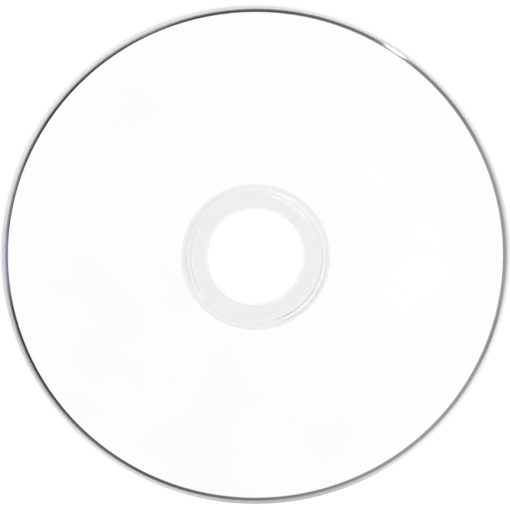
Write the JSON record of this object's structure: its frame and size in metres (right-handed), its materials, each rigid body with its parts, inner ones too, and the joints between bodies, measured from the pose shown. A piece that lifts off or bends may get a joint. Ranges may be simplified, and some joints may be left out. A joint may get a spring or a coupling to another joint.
{
  "type": "compact disc",
  "caption": "Small 8 cm recordable compact disc with a centre hole, a clear moulded hub and rim, a mirror layer and a blank white printable face.",
  "frame": {"origin": "centre of the hole, on the surface that the disc's stacking ring rests on", "axes": "+Z along the disc's axis, out of the white label side; the disc is turned about it"},
  "size_m": [0.08, 0.08, 0.0014],
  "materials": {
    "clear_polycarbonate": "clear, polished as moulded",
    "reflective_silver": "silver mirror under clear lacquer",
    "white_coating": "matte ink-receptive white, unprinted"
  },
  "bodies": {
    "root": {"disc_substrate": "clear_polycarbonate", "reflective_layer": "reflective_silver", "printable_coating": "white_coating"}
  },
  "joints": []
}
